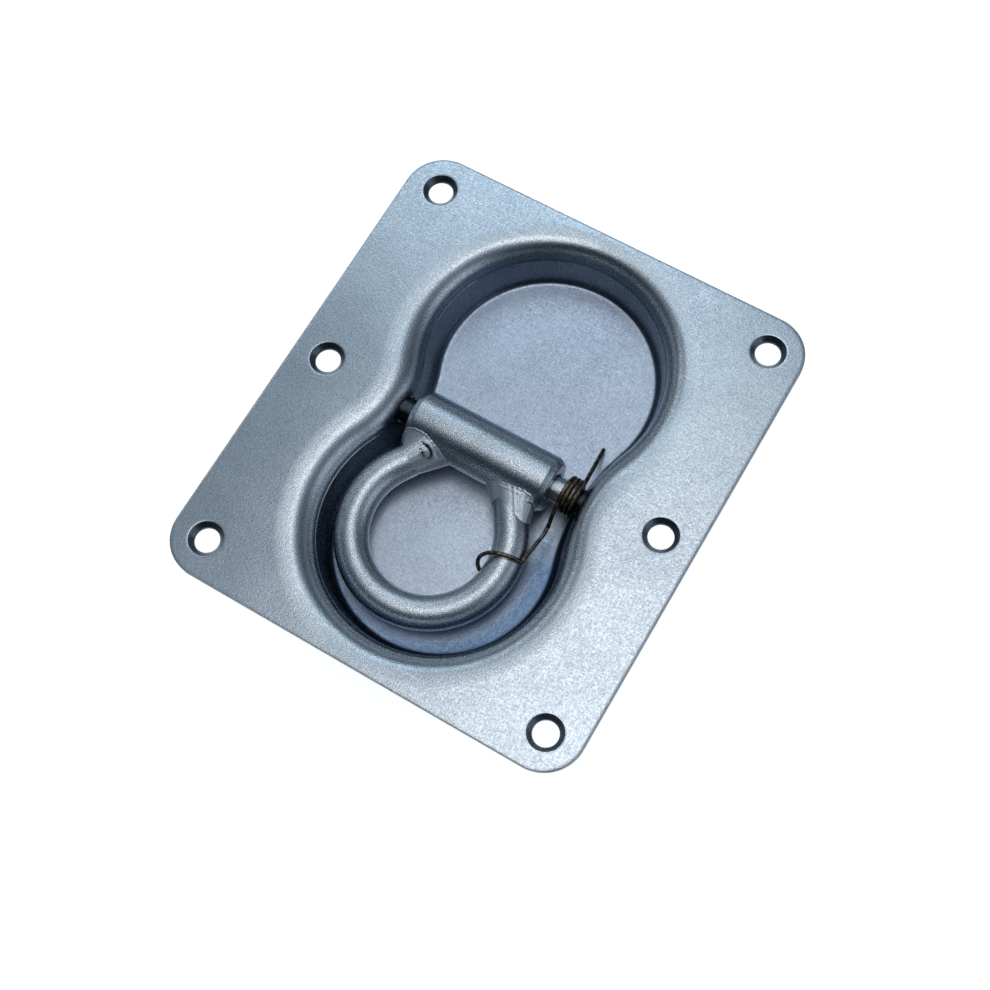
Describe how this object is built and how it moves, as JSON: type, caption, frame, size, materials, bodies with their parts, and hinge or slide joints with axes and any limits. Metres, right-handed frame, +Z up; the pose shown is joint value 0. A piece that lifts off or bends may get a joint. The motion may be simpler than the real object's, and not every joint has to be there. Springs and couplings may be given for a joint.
{
  "type": "flush mount tie down ring",
  "caption": "Recessed tie down: a pressed steel pan with screw holes and a hinged round ring that a torsion spring holds down in the figure-eight recess.",
  "frame": {"origin": "underside of the pan's floor, below the centre of the plate", "axes": "+Z up out of the recess, +Y along the plate's length with the stored ring towards -Y, X along the hinge pin with the spring towards +X"},
  "size_m": [0.103, 0.116, 0.0156],
  "materials": {
    "zinc_pan": "zinc plated pressed sheet, satin with a fine rolled grain",
    "zinc_ring": "zinc plated round bar and tube, semi-bright",
    "zinc_pin": "zinc plated pin, bright",
    "weld_metal": "plated weld bead, uneven",
    "spring_wire": "oil dark spring wire"
  },
  "bodies": {
    "pan": {"pan": "zinc_pan", "hinge_pin": "zinc_pin", "torsion_spring": "spring_wire"},
    "ring": {"barrel": "zinc_ring", "ring": "zinc_ring", "weld_left": "weld_metal", "weld_right": "weld_metal"}
  },
  "joints": [
    {"name": "ring_hinge", "type": "hinge", "parent": "pan", "child": "ring", "pos_m": [0, 0, 0.009], "axis": [-1, 0, 0], "range_deg": [0, 172], "stiffness_Nm_per_rad": 0.08, "springref_deg": -20.05, "deforming": ["torsion_spring"]}
  ]
}
